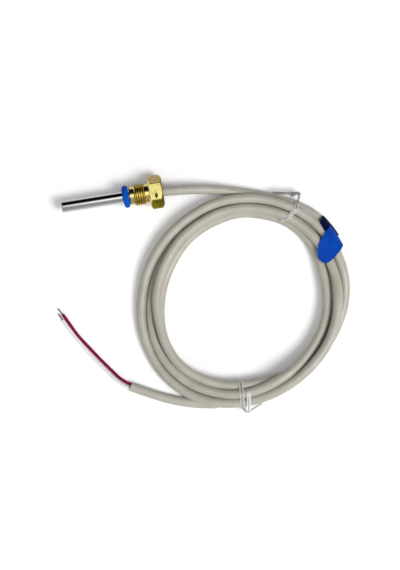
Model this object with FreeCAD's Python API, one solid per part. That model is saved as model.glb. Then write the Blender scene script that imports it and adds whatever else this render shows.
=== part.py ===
import FreeCAD, Part
import math
import os

# Screw-in resistance temperature probe, its cable wound into a coil held by two twist ties.
# Millimetres. +X runs along the stem from the tip towards the cable, and +Z is up.
# The probe lies on one flat of its hexagon. The origin is on that surface, under the probe's middle.

Vec = FreeCAD.Vector
along = Vec(1, 0, 0)
up = Vec(0, 0, 1)

# Stem, a tube drawn to take the end of the cable
sheath_wall = 0.4
cable_clearance = 0.1
tip_wall = 0.6
tip_edge_radius = 0.6
immersion_length = 27.5  # tip to the front of the seal ring

# Seal ring, stretched into a shallow seat rolled into the stem
ring_section = 2.6
ring_seat_depth = 0.2
ring_seat_margin = 0.2
ring_to_pilot = 0.4

# Brass screw, which turns freely on the stem
pilot_diameter = 8.2
pilot_length = 2.4
pilot_chamfer = 0.4
thread_diameter = 10.0
thread_length = 4.4
thread_chamfer = 0.5
relief_diameter = 8.7
relief_length = 2.0
hex_flats = 13.0
hex_length = 6.2
hex_face_margin = 0.25
hex_chamfer_degrees = 30.0
seal_hole_diameter = 1.2
seal_hole_inset = 1.0  # from a corner's edge to the hole's axis
seal_hole_count = 3
swivel_clearance = 0.05
axial_play = 0.1

# Collar and flare that keep the screw on the stem
collar_height = 0.7
collar_thickness = 0.9
flare_length = 0.9
flare_growth = 0.4
flare_recess = 0.1

# Pieces inside the stem
fit_gap = 0.03
filler_length = 6.0
chip_length = 2.3
chip_margin = 0.06  # from the outer side of each lead to the chip's edge
chip_thickness = 0.65
chip_setback = 1.0  # inside of the tip wall to the chip
glaze_length = 0.8
glaze_height = 0.3
lead_diameter = 0.25
lead_length = 12.0
sleeve_wall = 0.4
splice_wall = 0.17
splice_length = 4.0
shrink_wall = 0.13
shrink_overhang = 0.5
piece_gap = 0.1

# Cable
cable_diameter = 4.2
cable_insertion = 8.0  # jacket inside the stem, from the back of the hexagon
cable_exit_run = 6.5  # straight run behind the hexagon
core_insulation = 0.3
conductor_diameter = 0.8
bare_length = 3.2
core_gap = 0.35  # between the two cores where they leave the jacket
core_exit_run = 4.6
corner_share = 0.45

# Twist ties and tag
tie_width = 2.0
tie_thickness = 0.3
knot_diameter = 1.6
wrap_gap = 0.15
tag_thickness = 0.3
tag_tongue_hem = 4.6  # the tongue reaches down to this height over the surface
tag_band_hem = 2.2

# Derived sizes
inner_radius = cable_diameter / 2 + cable_clearance
sheath_radius = inner_radius + sheath_wall
collar_radius = sheath_radius + collar_height
axis_height = hex_flats / 2
hex_corner_radius = hex_flats / 2 / math.cos(math.pi / 6)
bore_radius = sheath_radius + swivel_clearance
cable_radius = cable_diameter / 2
conductor_radius = conductor_diameter / 2
core_radius = conductor_radius + core_insulation
lead_radius = lead_diameter / 2
sleeve_radius = lead_radius + fit_gap + sleeve_wall
splice_radius = conductor_radius + fit_gap + splice_wall
shrink_radius = splice_radius + fit_gap + shrink_wall
lane_offset = max(sleeve_radius, shrink_radius, core_radius) + piece_gap / 2
chip_width = 2 * (lane_offset + lead_radius + chip_margin)
core_side = core_radius + core_gap / 2
trim_height = 10 * cable_diameter  # of the outlines that ribbons and tag are cut by, well over the bundle

# Stations along the stem
pilot_offset = immersion_length + ring_section + ring_to_pilot
probe_length = pilot_offset + pilot_length + thread_length + relief_length + hex_length
tip_x = -probe_length / 2
ring_x = tip_x + immersion_length
pilot_x = tip_x + pilot_offset
thread_x = pilot_x + pilot_length
relief_x = thread_x + thread_length
hex_x = relief_x + relief_length
back_x = hex_x + hex_length
collar_x = pilot_x + axial_play
flare_x = back_x - flare_recess - flare_length
cavity_x = tip_x + tip_wall
filler_x = cavity_x + fit_gap
filler_end_x = filler_x + filler_length
chip_x = cavity_x + chip_setback
chip_end_x = chip_x + chip_length
splice_x = chip_end_x + lead_length - splice_length / 2
splice_end_x = splice_x + splice_length
core_x = splice_end_x + shrink_overhang + piece_gap
jacket_x = back_x - cable_insertion
seat_x = ring_x - ring_seat_margin
seat_end_x = ring_x + ring_section + ring_seat_margin
bead_x = seat_x - sheath_wall
bead_end_x = seat_end_x + sheath_wall
potting_x = bead_end_x + piece_gap

# The coil: its stations go clockwise, seen from above, from the side away from the probe
coil_centre_x = 49.95
coil_centre_y = -52.17
coil_centre = Vec(coil_centre_x, coil_centre_y, 0)
coil_lay_degrees = -8.8  # from +X to station 0
tie_lift = tie_thickness + wrap_gap
lying = cable_diameter / 2
tied = lying + tie_lift
coil_sections = {
    # station in degrees: radius and height of the strands that bound the bundle there,
    # low inner, low outer, high outer, crown and high inner
    0: [(39.4, lying), (45.2, 2.6), (43.6, 7.6), (40.6, 8.3), (37.8, 7.9)],
    30: [(38.4, lying), (43.3, lying), (42.7, 9.0), (40.2, 9.4), (37.7, 9.1)],
    60: [(40.0, lying), (43.9, lying), (43.7, 8.4), (40.0, 10.0), (38.4, 6.8)],
    90: [(41.0, tied), (45.2, tied), (46.7, 6.4), (42.9, 8.5), (39.2, 6.3)],
    120: [(42.2, lying), (48.4, lying), (49.0, 4.2), (44.7, 5.8), (40.6, 6.0)],
    150: [(39.8, lying), (47.6, lying), (47.0, 2.9), (43.6, 4.6), (39.7, 6.1)],
    180: [(36.0, lying), (44.4, lying), (43.4, 3.0), (40.8, 4.7), (37.9, 5.8)],
    210: [(34.5, lying), (42.0, lying), (42.7, 3.4), (40.0, 5.2), (37.1, 5.8)],
    240: [(35.4, lying), (40.4, lying), (42.5, 4.8), (40.2, 5.7), (37.7, 5.8)],
    270: [(37.6, lying), (43.0, lying), (43.8, 5.6), (41.7, 5.9), (39.5, 5.7)],
    300: [(39.1, tied), (47.5, tied), (45.4, 6.1), (43.3, 6.4), (41.1, 6.2)],
    330: [(40.4, lying), (48.7, lying), (46.2, 5.8), (42.4, 6.2), (38.6, 4.2)],
}
upper_tie_degrees = 300
lower_tie_degrees = 90
tag_degrees = 330

# Free stretches of the cable and its cores, point by point
lead_route = [
    Vec(jacket_x, 0, axis_height),
    Vec(back_x + cable_exit_run, 0, axis_height),
    Vec(44.0, -2.4, 5.0),
    Vec(55.0, -6.0, 3.1),
    Vec(65.0, -10.3, 2.6),
    Vec(72.5, -14.3, 2.8),
]
tail_route = [
    Vec(39.6, -97.1, 2.5),
    Vec(29.5, -97.4, 2.6),
    Vec(20.5, -95.8, 2.2),
    Vec(11.3, -92.6, 2.1),
    Vec(3.0, -88.5, 2.1),
    Vec(-4.61, -84.2, 2.1),
]
red_route = [
    Vec(-12.8, -75.4, 0.9),
    Vec(-17.1, -69.4, 0.75),
    Vec(-21.3, -63.0, 0.75),
    Vec(-25.2, -57.4, 0.75),
    Vec(-27.9, -51.2, 0.75),
    Vec(-29.86, -47.69, 0.75),
]
white_route = [
    Vec(-14.1, -76.2, 0.85),
    Vec(-18.9, -70.2, 0.72),
    Vec(-23.1, -63.6, 0.72),
    Vec(-27.6, -56.4, 0.72),
    Vec(-30.76, -50.29, 0.72),
]

# Twist ties, at their stations: radius and sideways where the ribbon crosses the bundle, then radius,
# sideways and height of the knot and of the loose ends, and the way across each end's ribbon
upper_tie_crossing = [(36.0, 2.9), (39.1, 1.1), (41.2, -0.5), (43.3, -1.3), (46.1, -1.4), (51.0, -0.2)]
upper_tie_knot = [Vec(48.8, -0.5, 4.8), Vec(52.6, 0.5, 4.8)]
upper_tie_ends = [
    ([Vec(52.2, 1.9, 4.9), Vec(48.9, 7.4, 5.1), Vec(46.9, 11.7, 5.0)], Vec(0.7, 0.4, 1.2)),
    ([Vec(52.0, 2.0, 5.1), Vec(49.5, 3.7, 6.2)], Vec(1.0, 0.9, 0.4)),
]
lower_tie_crossing = [(36.0, -0.7), (40.5, -0.7), (43.9, -0.2), (50.0, -0.2)]
lower_tie_knot = [Vec(47.6, -0.5, 4.8), Vec(50.8, 1.4, 4.9)]
lower_tie_ends = [
    (
        [Vec(50.6, 2.4, 7.0), Vec(48.0, 2.7, 9.3), Vec(43.4, 2.7, 11.1), Vec(41.5, 2.7, 10.7)],
        Vec(0, 1.8, 0),
    ),
    ([Vec(50.6, 3.2, 4.7), Vec(48.5, 6.4, 4.9), Vec(47.2, 8.6, 5.1)], Vec(0.9, 0.6, 0.7)),
]

# The tag: strands that its sheet lies over, and its outlines from above, radius and sideways at its station
tag_strands = [(37.0, lying), (49.0, lying), (46.1, 5.8), (43.0, 6.3), (37.0, 5.7)]
tag_sweep_degrees = 44.0
tag_tongue_sides = [(41.2, 3.4), (45.6, 6.1), (51.5, 7.8), (51.5, -1.9), (43.7, -5.2), (40.6, -6.1)]
tag_tongue_end = (37.7, -2.6)
tag_band_outline = [(53.0, 13.4), (53.0, 2.0), (49.2, 2.3), (46.3, 6.3), (46.6, 11.7), (49.9, 13.4)]


def turned(profile):
    """Solid turned about the stem's axis from (x, radius) points, closed along the axis."""
    points = [Vec(x, radius, 0) for x, radius in profile]
    face = Part.Face(Part.makePolygon(points + points[:1]))
    solid = face.revolve(Vec(0, 0, 0), along, 360)
    return solid.translate(up * axis_height)


def rod(radius, start_x, end_x, side=0.0):
    """Round bar along the stem, off the axis by the given sideways distance."""
    return Part.makeCylinder(radius, end_x - start_x, Vec(start_x, side, axis_height), along)


def tube(outer_radius, bore, start_x, end_x, side=0.0):
    return rod(outer_radius, start_x, end_x, side).cut(rod(bore, start_x, end_x, side))


def block(size, start_x, base_z):
    """Box centred across the axis, starting at the given station and height over the axis."""
    corner = Vec(start_x, -size[1] / 2, axis_height + base_z)
    return Part.makeBox(size[0], size[1], size[2], corner)


def sheath():
    """Deep-drawn tube with a closed tip, a ring seat, an upset collar and a flared back end."""
    seat_radius = sheath_radius - ring_seat_depth
    bead_radius = inner_radius - ring_seat_depth
    collar_end_x = collar_x + collar_thickness
    flare_end_x = flare_x + flare_length
    shoulder = sheath_radius - tip_edge_radius
    blend = tip_edge_radius * (1 - math.sqrt(0.5))
    arc = Part.Arc(
        Vec(tip_x, shoulder, 0),
        Vec(tip_x + blend, sheath_radius - blend, 0),
        Vec(tip_x + tip_edge_radius, sheath_radius, 0),
    )
    outline = [
        (tip_x + tip_edge_radius, sheath_radius),
        (seat_x, sheath_radius),
        (seat_x, seat_radius),
        (seat_end_x, seat_radius),
        (seat_end_x, sheath_radius),
        (collar_x, sheath_radius),
        (collar_x, collar_radius),
        (collar_end_x, collar_radius),
        (collar_end_x, sheath_radius),
        (flare_x, sheath_radius),
        (flare_end_x, sheath_radius + flare_growth),
        (flare_end_x, inner_radius + flare_growth),
        (flare_x, inner_radius),
        (bead_end_x, inner_radius),
        (bead_end_x, bead_radius),
        (bead_x, bead_radius),
        (bead_x, inner_radius),
        (cavity_x, inner_radius),
        (cavity_x, 0),
        (tip_x, 0),
        (tip_x, shoulder),
    ]
    path = Part.makePolygon([Vec(x, radius, 0) for x, radius in outline])
    face = Part.Face(Part.Wire([arc.toShape()] + path.Edges))
    return face.revolve(Vec(0, 0, 0), along, 360).translate(up * axis_height)


def seal_ring():
    middle_radius = sheath_radius - ring_seat_depth + ring_section / 2 + fit_gap
    centre = Vec(ring_x + ring_section / 2, 0, axis_height)
    return Part.makeTorus(middle_radius, ring_section / 2, centre, along)


def hexagon():
    """Hexagon lying on one flat, both ends cut back by a turned chamfer."""
    corners = []
    for step in range(7):
        angle = step * math.pi / 3
        offset = Vec(0, math.cos(angle), math.sin(angle)) * hex_corner_radius
        corners.append(Vec(hex_x, 0, axis_height) + offset)
    prism = Part.Face(Part.makePolygon(corners)).extrude(along * hex_length)
    face_radius = hex_flats / 2 - hex_face_margin
    drop = (hex_corner_radius - face_radius) * math.tan(math.radians(hex_chamfer_degrees))
    envelope = turned([
        (hex_x, 0),
        (hex_x, face_radius),
        (hex_x + drop, hex_corner_radius),
        (back_x - drop, hex_corner_radius),
        (back_x, face_radius),
        (back_x, 0),
    ])
    return prism.common(envelope)


def seal_holes():
    """Holes for a seal wire, drilled across every second corner of the hexagon."""
    holes = []
    for step in range(seal_hole_count):
        angle = step * 2 * math.pi / seal_hole_count
        outward = Vec(0, math.cos(angle), math.sin(angle))
        across = Vec(0, -math.sin(angle), math.cos(angle))
        middle = Vec((hex_x + back_x) / 2, 0, axis_height)
        middle = middle + outward * (hex_corner_radius - seal_hole_inset)
        start = middle - across * hex_flats / 2
        holes.append(Part.makeCylinder(seal_hole_diameter / 2, hex_flats, start, across))
    return holes


def threaded_fitting():
    pilot_radius = pilot_diameter / 2
    thread_radius = thread_diameter / 2
    relief_radius = relief_diameter / 2
    shank = turned([
        (pilot_x, 0),
        (pilot_x, pilot_radius - pilot_chamfer),
        (pilot_x + pilot_chamfer, pilot_radius),
        (thread_x, pilot_radius),
        (thread_x, thread_radius - thread_chamfer),
        (thread_x + thread_chamfer, thread_radius),
        (relief_x - thread_chamfer, thread_radius),
        (relief_x, thread_radius - thread_chamfer),
        (relief_x, relief_radius),
        (hex_x, relief_radius),
        (hex_x, 0),
    ])
    collar_seat_radius = collar_radius + axial_play
    collar_seat_x = collar_x + collar_thickness + axial_play
    sink_x = flare_x - axial_play
    sink_radius = bore_radius + (back_x - sink_x) * flare_growth / flare_length
    bore = turned([
        (pilot_x, 0),
        (pilot_x, collar_seat_radius),
        (collar_seat_x, collar_seat_radius),
        (collar_seat_x, bore_radius),
        (sink_x, bore_radius),
        (back_x, sink_radius),
        (back_x, 0),
    ])
    return shank.fuse(hexagon()).cut([bore] + seal_holes()).removeSplitter()


def sensing_element(grow=0.0):
    """Thin-film chip with a glaze drop over its lead ends, grown to make its pocket."""
    size = (chip_length + 2 * grow, chip_width + 2 * grow, chip_thickness + 2 * grow)
    chip = block(size, chip_x - grow, -chip_thickness / 2 - grow)
    drop_size = (glaze_length + 2 * grow, chip_width + 2 * grow, glaze_height + grow)
    drop = block(drop_size, chip_end_x - glaze_length - grow, chip_thickness / 2)
    return chip.fuse(drop).removeSplitter()


def tip_filler():
    filler = rod(inner_radius - fit_gap, filler_x, filler_end_x)
    pocket = [sensing_element(fit_gap)]
    for side in (lane_offset, -lane_offset):
        pocket.append(rod(lead_radius + fit_gap, chip_end_x, filler_end_x, side))
    return filler.cut(pocket)


def element_lead(side):
    return rod(lead_radius, chip_end_x, splice_x + splice_length / 2, side)


def lead_sleeve(side):
    start_x = filler_end_x + piece_gap
    return tube(sleeve_radius, lead_radius + fit_gap, start_x, splice_x - piece_gap, side)


def splice(side):
    middle_x = splice_x + splice_length / 2
    front = rod(lead_radius + fit_gap, splice_x, middle_x, side)
    back = rod(conductor_radius + fit_gap, middle_x, splice_end_x, side)
    return rod(splice_radius, splice_x, splice_end_x, side).cut([front, back])


def splice_shrink(side):
    start_x = splice_x - shrink_overhang
    end_x = splice_end_x + shrink_overhang
    return tube(shrink_radius, splice_radius + fit_gap, start_x, end_x, side)


def inner_conductor(side):
    return rod(conductor_radius, splice_x + splice_length / 2, jacket_x, side)


def inner_core(side):
    return tube(core_radius, conductor_radius + fit_gap, core_x, jacket_x, side)


def core_potting():
    plug = rod(inner_radius - fit_gap, potting_x, jacket_x)
    bores = [rod(core_radius + fit_gap, potting_x, jacket_x, side) for side in (lane_offset, -lane_offset)]
    return plug.cut(bores)


def entry_seal():
    """Sealing bead that fills the flared mouth of the stem round the cable."""
    end_x = flare_x + flare_length
    return turned([
        (flare_x, cable_radius + fit_gap),
        (end_x, cable_radius + fit_gap),
        (end_x, inner_radius + flare_growth - fit_gap),
        (flare_x, inner_radius - fit_gap),
    ])


def rounded_path(points):
    """Straight runs joined by tangent arcs, each as large as its two runs allow."""
    edges = []
    radii = []
    here = points[0]
    for before, corner, after in zip(points, points[1:], points[2:]):
        back = before - corner
        ahead = after - corner
        turn = math.pi - back.getAngle(ahead)
        reach = corner_share * min(back.Length, ahead.Length)
        radii.append(reach / math.tan(turn / 2))
        start = corner + back.normalize() * reach
        end = corner + ahead.normalize() * reach
        middle = (start + end) / 2
        sag = radii[-1] * (1 - math.cos(turn / 2))
        crown = middle + (corner - middle).normalize() * sag
        edges.append(Part.LineSegment(here, start).toShape())
        edges.append(Part.Arc(start, crown, end).toShape())
        here = end
    edges.append(Part.LineSegment(here, points[-1]).toShape())
    return Part.Wire(edges), radii


def cord(name, points, radius):
    """Round cord along a route, with its bends and volume reported."""
    path, radii = rounded_path(points)
    start = Part.makeCircle(radius, points[0], points[1] - points[0])
    solid = path.makePipeShell([Part.Wire([start])], True, True)
    share = solid.Volume / (math.pi * radius ** 2 * path.Length)
    bends = ", ".join("%.0f" % value for value in radii)
    print("%s: length %.1f, volume share %.4f, radii %s" % (name, path.Length, share, bends))
    return solid


def largest(shape):
    return max(shape.Solids, key=lambda solid: solid.Volume)


def station_direction(degrees):
    angle = math.radians(coil_lay_degrees - degrees)
    return Vec(math.cos(angle), math.sin(angle), 0)


def tight_outline(strands, radius, degrees):
    """Outline of a tight band round strands at one station, listed from low inner to high inner."""
    radial = station_direction(degrees)
    ways = []
    for (r, z), (next_r, next_z) in zip(strands, strands[1:] + strands[:1]):
        ways.append(Vec(next_z - z, r - next_r, 0).normalize())

    def at(strand, way):
        return coil_centre + radial * (strand[0] + way.x * radius) + up * (strand[1] + way.y * radius)

    edges = []
    for index, strand in enumerate(strands):
        before, after = ways[index - 1], ways[index]
        corner = [at(strand, way) for way in (before, (before + after).normalize(), after)]
        following = at(strands[(index + 1) % len(strands)], after)
        edges.append(Part.Arc(*corner).toShape())
        edges.append(Part.LineSegment(corner[-1], following).toShape())
    return Part.Wire(edges)


def coil_body(grow=0.0):
    """Outer shape of the wound cable, flat where it lies on the surface."""
    outlines = []
    for degrees, strands in coil_sections.items():
        outlines.append(tight_outline(strands, cable_radius + grow, degrees))
    widest = max(r for strands in coil_sections.values() for r, z in strands)
    turn = Part.Wire(Part.makeCircle(widest, coil_centre, up * -1))
    ring = turn.makePipeShell(outlines, True, False)
    reach = 2 * widest
    depth = reach / 4
    below = Part.makeBox(2 * reach, 2 * reach, depth, coil_centre - Vec(reach, reach, depth))
    return ring.cut(below)


def station_frame(degrees):
    """Placement at a coil station: X radially out from the coil's centre, Y along the turns."""
    radial = station_direction(degrees)
    turn = FreeCAD.Rotation(radial, up.cross(radial), up, "XYZ")
    return FreeCAD.Placement(coil_centre, turn)


def upright(edges, degrees, base):
    """Upright prism on an outline that is given from above at a coil station."""
    prism = Part.Face(Part.Wire(edges)).extrude(up * trim_height)
    prism.translate(up * base)
    prism.Placement = station_frame(degrees).multiply(prism.Placement)
    return prism


def polygon(points):
    corners = [Vec(r, side, 0) for r, side in points]
    return Part.makePolygon(corners + corners[:1]).Edges


def ribbon(points, across):
    """Flat ribbon along a path, its width pointing across as given at its start."""
    path, radii = rounded_path(points)
    heading = points[1] - points[0]
    thick = heading.cross(across).normalize() * tie_thickness / 2
    wide = thick.cross(heading).normalize() * across.Length / 2
    steps = [wide + thick, wide - thick, wide * -1 - thick, thick - wide, wide + thick]
    section = Part.makePolygon([points[0] + step for step in steps])
    return path.makePipeShell([section], True, False)


def twist_tie(degrees, crossing, knot_ends, loose_ends, bundle):
    """Ribbon round the bundle, twisted to a knot at its outer side, with its loose ends."""
    frame = station_frame(degrees)
    edge = [(r, side + tie_width / 2) for r, side in crossing]
    edge += [(r, side - tie_width / 2) for r, side in reversed(crossing)]
    strands = coil_sections[degrees]
    outer = Part.Face(tight_outline(strands, cable_radius + tie_lift, degrees))
    inner = Part.Face(tight_outline(strands, cable_radius + wrap_gap, degrees))
    sideways = up.cross(station_direction(degrees)) * trim_height
    sleeve = outer.cut(inner)
    sleeve.translate(sideways / -2)
    loop = sleeve.extrude(sideways).common(upright(polygon(edge), degrees, 0))
    root, tip = knot_ends
    knot = Part.makeCylinder(knot_diameter / 2, (tip - root).Length, root, tip - root)
    pieces = [knot]
    pieces += [ribbon([tip] + points, across) for points, across in loose_ends]
    for piece in pieces:
        piece.Placement = frame.multiply(piece.Placement)
    return largest(loop.fuse(pieces).removeSplitter().cut(bundle))


def tag_sheet(lift):
    """Sheet over the outer strands, along a stretch of the coil."""
    start = tag_degrees + tag_sweep_degrees / 2
    faces = []
    for grow in (lift + tag_thickness, lift):
        faces.append(Part.Face(tight_outline(tag_strands, cable_radius + grow, start)))
    return faces[0].cut(faces[1]).revolve(coil_centre, up, tag_sweep_degrees)


def tag_flag(bundle):
    """Vinyl flag: a band round the outer strand, and on it a rounded tongue that lies across the bundle."""
    corners = [Vec(r, side, 0) for r, side in tag_tongue_sides]
    edges = Part.makePolygon(corners).Edges
    edges.append(Part.Arc(corners[-1], Vec(*tag_tongue_end, 0), corners[0]).toShape())
    tongue_prism = upright(edges, tag_degrees, tag_tongue_hem)
    tongue = tag_sheet(wrap_gap + tag_thickness).common(tongue_prism)
    band = tag_sheet(wrap_gap).common(upright(polygon(tag_band_outline), tag_degrees, tag_band_hem))
    return largest(tongue.fuse(band).removeSplitter().cut(bundle))


def jacket_end():
    """Middle of the cut jacket, the way the cable points there, and its sideways direction."""
    heading = tail_route[-1] - tail_route[-2]
    heading.normalize()
    return tail_route[-1], heading, heading.cross(up)


def free_core(name, route, side):
    """Insulated core from the face of the cut jacket to where it is stripped."""
    end, heading, sideways = jacket_end()
    start = end + sideways * side
    return cord(name, [start, start + heading * core_exit_run] + route, core_radius)


def bare_end(route):
    """Tinned conductor that stands out of a stripped core."""
    heading = route[-1] - route[-2]
    return Part.makeCylinder(conductor_radius, bare_length, route[-1], heading)


def build():
    coil = coil_body()
    bundle = coil_body(fit_gap)
    parts = {
        "sheath": sheath(),
        "seal_ring": seal_ring(),
        "threaded_fitting": threaded_fitting(),
        "sensing_element": sensing_element(),
        "tip_filler": tip_filler(),
        "core_potting": core_potting(),
        "entry_seal": entry_seal(),
        "cable_coil": coil,
        "cable_lead": largest(cord("cable_lead", lead_route, cable_radius).cut(coil)),
        "cable_tail": largest(cord("cable_tail", tail_route, cable_radius).cut(coil)),
        "tag_flag": tag_flag(bundle),
    }
    for colour, side in (("red", lane_offset), ("white", -lane_offset)):
        parts["element_lead_" + colour] = element_lead(side)
        parts["lead_sleeve_" + colour] = lead_sleeve(side)
        parts["splice_" + colour] = splice(side)
        parts["splice_shrink_" + colour] = splice_shrink(side)
        parts["inner_conductor_" + colour] = inner_conductor(side)
        parts["inner_core_" + colour] = inner_core(side)
    for colour, route, side in (("red", red_route, core_side), ("white", white_route, -core_side)):
        parts["core_" + colour] = free_core("core_" + colour, route, side)
        parts["bare_end_" + colour] = bare_end(route)
    parts["twist_tie_upper"] = twist_tie(
        upper_tie_degrees, upper_tie_crossing, upper_tie_knot, upper_tie_ends, bundle
    )
    parts["twist_tie_lower"] = twist_tie(
        lower_tie_degrees, lower_tie_crossing, lower_tie_knot, lower_tie_ends, bundle
    )
    return parts


os.makedirs("parts", exist_ok=True)
for node, shape in build().items():
    shape.exportStep("parts/" + node + ".step")
    print("%s: %d solid, valid %s, volume %.2f" % (node, len(shape.Solids), shape.isValid(), shape.Volume))
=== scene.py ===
import math

import bpy
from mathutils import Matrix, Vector


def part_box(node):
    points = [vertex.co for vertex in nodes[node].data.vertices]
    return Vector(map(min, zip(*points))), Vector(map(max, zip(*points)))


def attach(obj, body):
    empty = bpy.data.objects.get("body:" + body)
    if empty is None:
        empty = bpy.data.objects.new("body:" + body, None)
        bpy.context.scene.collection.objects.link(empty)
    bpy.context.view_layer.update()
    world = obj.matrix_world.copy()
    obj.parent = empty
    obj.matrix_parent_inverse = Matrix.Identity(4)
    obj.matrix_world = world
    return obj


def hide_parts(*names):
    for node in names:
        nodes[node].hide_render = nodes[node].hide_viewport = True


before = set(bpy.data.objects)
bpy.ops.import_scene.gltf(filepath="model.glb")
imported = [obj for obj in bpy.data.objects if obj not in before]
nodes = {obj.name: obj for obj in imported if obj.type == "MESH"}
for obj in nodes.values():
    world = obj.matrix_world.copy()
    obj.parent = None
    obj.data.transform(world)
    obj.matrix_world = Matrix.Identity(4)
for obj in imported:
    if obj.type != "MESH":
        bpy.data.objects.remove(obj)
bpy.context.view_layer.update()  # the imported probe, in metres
mm = 0.001
probeBody = "probe"
screwBody = "fitting"


def useMode(mode):
    bpy.ops.object.mode_set(mode=mode)


def freshStart():
    if bpy.context.object and bpy.context.object.mode != "OBJECT":
        useMode("OBJECT")
    bpy.ops.object.select_all(action="DESELECT")


def pickOut(piece):
    freshStart()
    piece.select_set(True)
    bpy.context.view_layer.objects.active = piece


def dress(piece, body, slot, *replaced):
    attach(piece, body)
    if replaced:
        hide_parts(*replaced)
    return piece


# Camera, floor and light

view = {
    "middle": (32.38, -43.88),  # floor point in the middle of the picture, millimetres
    "turn": -9.12,  # degrees, so that the stem slopes up to the right
    "height": 900.0,
    "subjectHeight": 5.0,
    "frameHeight": 253.3,  # millimetres from the top to the bottom of the picture
    "sensor": 36.0,
}
viewTurn = math.radians(view["turn"])
imageRight = Vector((math.cos(viewTurn), math.sin(viewTurn), 0))
imageUp = Vector((-math.sin(viewTurn), math.cos(viewTurn), 0))
viewMiddle = Vector((*view["middle"], 0)) * mm

studio = {
    "floorSize": 24.0,
    "floorDrop": 0.00005,  # keeps the floor just under the probe
    "floorColour": (0.92, 0.92, 0.92, 1),
    "floorGlow": 0.09,  # lifts the floor to white where it is seen or mirrored
    "skyColour": (1.0, 1.0, 1.0, 1),
    "skyStrength": 0.52,
    "keyLamp": {"right": 0.75, "up": -0.42, "height": 1.38, "size": 0.65, "watts": 18.8},
    "topLamp": {"right": 0.05, "up": -0.05, "height": 1.5, "size": 0.75, "watts": 2.4},
    "darkCard": {"distance": 2.4, "low": 0.12, "high": 6.2, "width": 7.0},
}


def addCamera():
    freshStart()
    place = viewMiddle + Vector((0, 0, view["height"] * mm))
    bpy.ops.object.camera_add(location=place, rotation=(0, 0, viewTurn))
    camera = bpy.context.active_object
    camera.name = "pictureCamera"
    camera.data.sensor_fit = "VERTICAL"
    camera.data.sensor_height = view["sensor"]
    camera.data.lens = view["sensor"] * (view["height"] - view["subjectHeight"]) / view["frameHeight"]
    camera.data.clip_start = 0.01
    bpy.context.scene.camera = camera


def addLamp(name):
    lamp = studio[name]
    place = viewMiddle + imageRight * lamp["right"] + imageUp * lamp["up"]
    place.z = lamp["height"]
    freshStart()
    aim = (viewMiddle - place).to_track_quat("-Z", "Y").to_euler()
    bpy.ops.object.light_add(type="AREA", location=place, rotation=aim)
    light = bpy.context.active_object
    light.name = name
    light.data.shape = "SQUARE"
    light.data.size = lamp["size"]
    light.data.energy = lamp["watts"]
    light.visible_camera = False


def whiteFloor():
    material = newFinish(
        "studioFloor", Base_Color=studio["floorColour"], Roughness=0.9, Specular_IOR_Level=0.1,
        Emission_Color=(1, 1, 1, 1),
    )
    tree = material.node_tree
    path = addNode(tree, "LightPath")
    seen = path.outputs["Is Camera Ray"]
    for kind in ("Is Glossy Ray", "Is Transmission Ray"):
        both = addNode(tree, "Math", {"operation": "MAXIMUM"})
        tree.links.new(seen, both.inputs[0])
        wire(tree, path, kind, both, 1)
        seen = both.outputs["Value"]
    glow = addNode(tree, "Math", {"operation": "MULTIPLY"})
    glow.inputs[1].default_value = studio["floorGlow"]
    tree.links.new(seen, glow.inputs[0])
    wire(tree, glow, "Value", shaderOf(material), "Emission Strength")
    return material


def addFloor(finish):
    freshStart()
    bpy.ops.mesh.primitive_plane_add(size=studio["floorSize"], location=(0, 0, -studio["floorDrop"]))
    floor = bpy.context.active_object
    floor.name = "studioFloor"
    floor.data.materials.append(finish)


def addDarkCard(finish):
    # a dark card beyond the top of the picture, for the dark line in polished metal
    card = studio["darkCard"]
    freshStart()
    middle = imageUp * card["distance"] + Vector((0, 0, (card["low"] + card["high"]) / 2))
    bpy.ops.mesh.primitive_plane_add(size=1, location=middle, rotation=(math.pi / 2, 0, viewTurn))
    plane = bpy.context.active_object
    plane.name = "darkCard"
    plane.scale = (card["width"], card["high"] - card["low"], 1)
    plane.visible_camera = False
    plane.data.materials.append(finish)


def addSky():
    sky = bpy.data.worlds.new("studioSky")
    bpy.context.scene.world = sky
    sky.use_nodes = True
    background = sky.node_tree.nodes["Background"]
    background.inputs["Color"].default_value = studio["skyColour"]
    background.inputs["Strength"].default_value = studio["skyStrength"]


# Materials

def shaderOf(material):
    return material.node_tree.nodes["Principled BSDF"]


def wire(tree, source, output, target, socket):
    tree.links.new(source.outputs[output], target.inputs[socket])


def setInputs(node, inputs):
    for socket, value in inputs.items():
        node.inputs[socket.replace("_", " ")].default_value = value


def newFinish(name, **sockets):
    material = bpy.data.materials.new(name)
    material.use_nodes = True
    setInputs(shaderOf(material), sockets)
    return material


def addNode(tree, kind, settings=None, **inputs):
    node = tree.nodes.new("ShaderNode" + kind)
    for key, value in (settings or {}).items():
        setattr(node, key, value)
    setInputs(node, inputs)
    return node


def groupStart(name, inputs, outputs):
    group = bpy.data.node_groups.new(name, "ShaderNodeTree")
    for label, kind, value in inputs:
        socket = group.interface.new_socket(name=label, in_out="INPUT", socket_type="NodeSocket" + kind)
        if value is not None:
            socket.default_value = value
    for label, kind in outputs:
        group.interface.new_socket(name=label, in_out="OUTPUT", socket_type="NodeSocket" + kind)
    return group, group.nodes.new("NodeGroupInput"), group.nodes.new("NodeGroupOutput")


def softLimit(group, given, source, output, result, mask):
    # a mask that grows from nothing at Start to all at Full
    limit = addNode(group, "MapRange", {"interpolation_type": "SMOOTHSTEP"})
    wire(group, source, output, limit, "Value")
    wire(group, given, "Start", limit, "From Min")
    wire(group, given, "Full", limit, "From Max")
    wire(group, limit, "Result", result, mask)


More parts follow.
